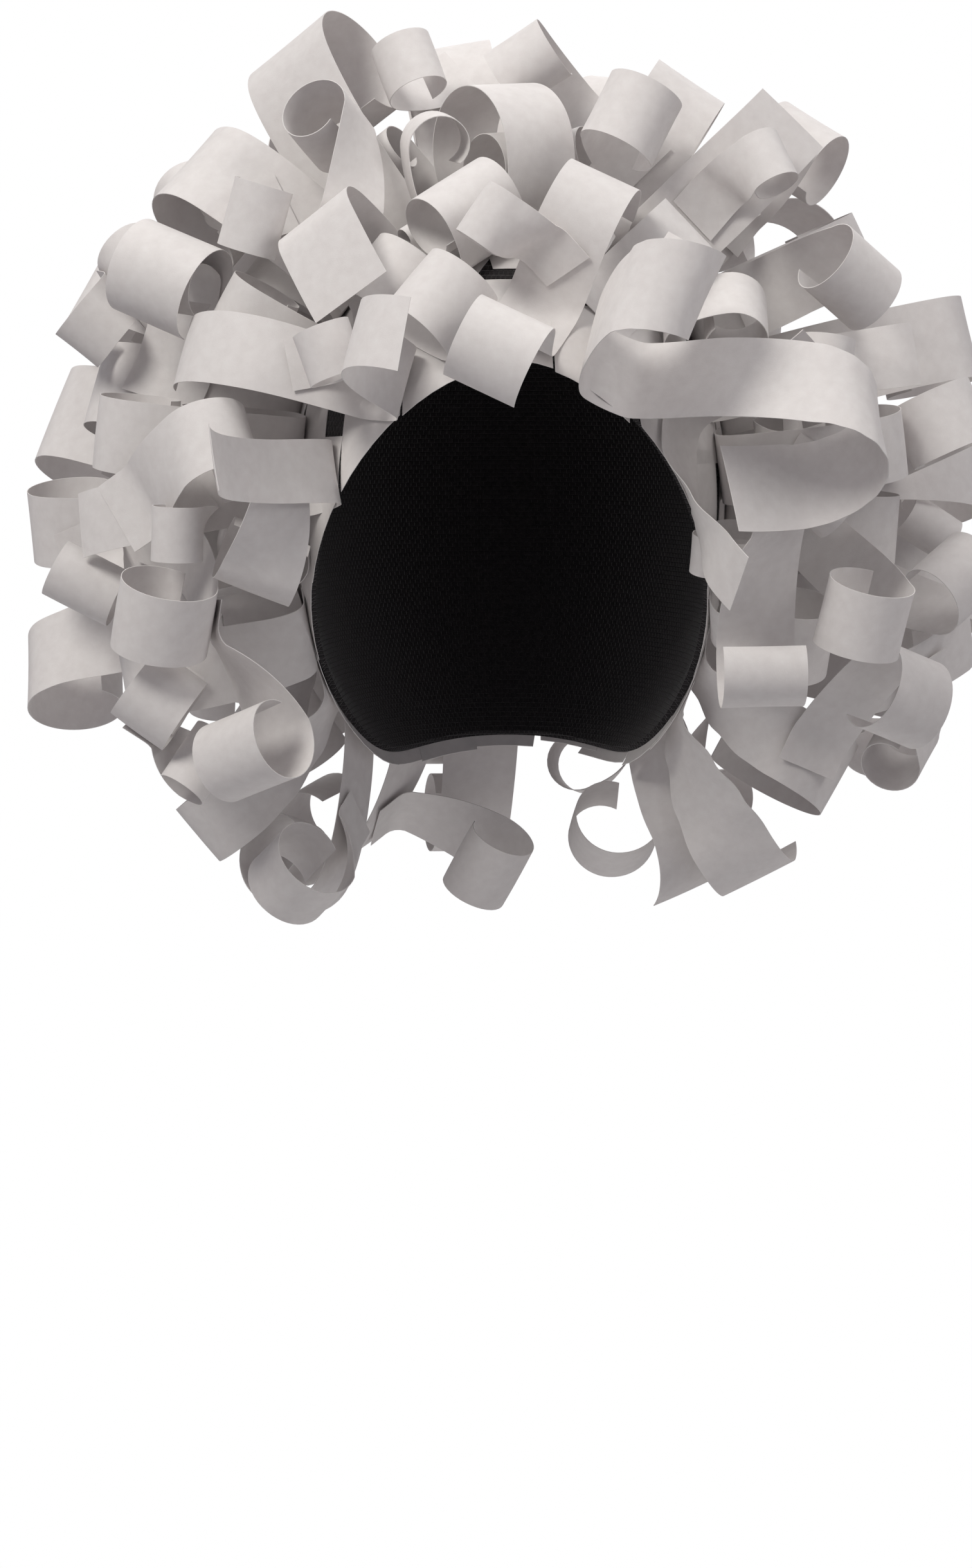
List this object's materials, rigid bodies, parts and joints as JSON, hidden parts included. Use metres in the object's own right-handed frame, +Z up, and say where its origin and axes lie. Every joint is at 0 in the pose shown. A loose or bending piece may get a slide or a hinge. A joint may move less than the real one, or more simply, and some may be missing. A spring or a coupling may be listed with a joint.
{
  "type": "paper wig",
  "caption": "Wig of curled white paper strips that stand out from a dark fitted cap, open for a head from below and in front.",
  "frame": {"origin": "crown of the head, on the inside of the cap", "axes": "+Z up, -Y the way the face looks, +X the viewer's right"},
  "size_m": [0.3498, 0.2934, 0.3175],
  "materials": {
    "paper": "matt uncoated white paper",
    "cap": "black stretch knit"
  },
  "bodies": {
    "root": {"back_curl_01": "paper", "back_curl_02": "paper", "back_curl_03": "paper", "back_curl_04": "paper", "back_curl_05": "paper", "back_curl_06": "paper", "back_curl_07": "paper", "back_curl_08": "paper", "back_curl_09": "paper", "back_curl_10": "paper", "back_curl_11": "paper", "back_curl_12": "paper", "back_curl_13": "paper", "back_curl_14": "paper", "back_curl_15": "paper", "cap": "cap", "face_curl_01": "paper", "face_curl_02": "paper", "face_curl_03": "paper", "face_curl_04": "paper", "face_curl_05": "paper", "face_curl_06": "paper", "face_curl_07": "paper", "face_curl_08": "paper", "face_curl_09": "paper", "face_curl_10": "paper", "face_curl_11": "paper", "face_curl_12": "paper", "face_curl_13": "paper", "face_curl_14": "paper", "face_curl_15": "paper", "face_curl_16": "paper", "face_curl_17": "paper", "face_curl_18": "paper", "face_curl_19": "paper", "face_curl_20": "paper", "middle_curl_01": "paper", "middle_curl_02": "paper", "middle_curl_03": "paper", "middle_curl_04": "paper", "middle_curl_05": "paper", "middle_curl_06": "paper", "middle_curl_07": "paper", "middle_curl_08": "paper", "middle_curl_09": "paper", "outer_curl_01": "paper", "outer_curl_02": "paper", "outer_curl_03": "paper", "outer_curl_04": "paper", "outer_curl_05": "paper", "outer_curl_06": "paper", "outer_curl_07": "paper", "outer_curl_08": "paper", "outer_curl_09": "paper", "outer_curl_10": "paper", "outer_curl_11": "paper", "outer_curl_12": "paper", "outer_curl_13": "paper", "outer_curl_14": "paper", "outer_curl_15": "paper"}
  },
  "joints": []
}
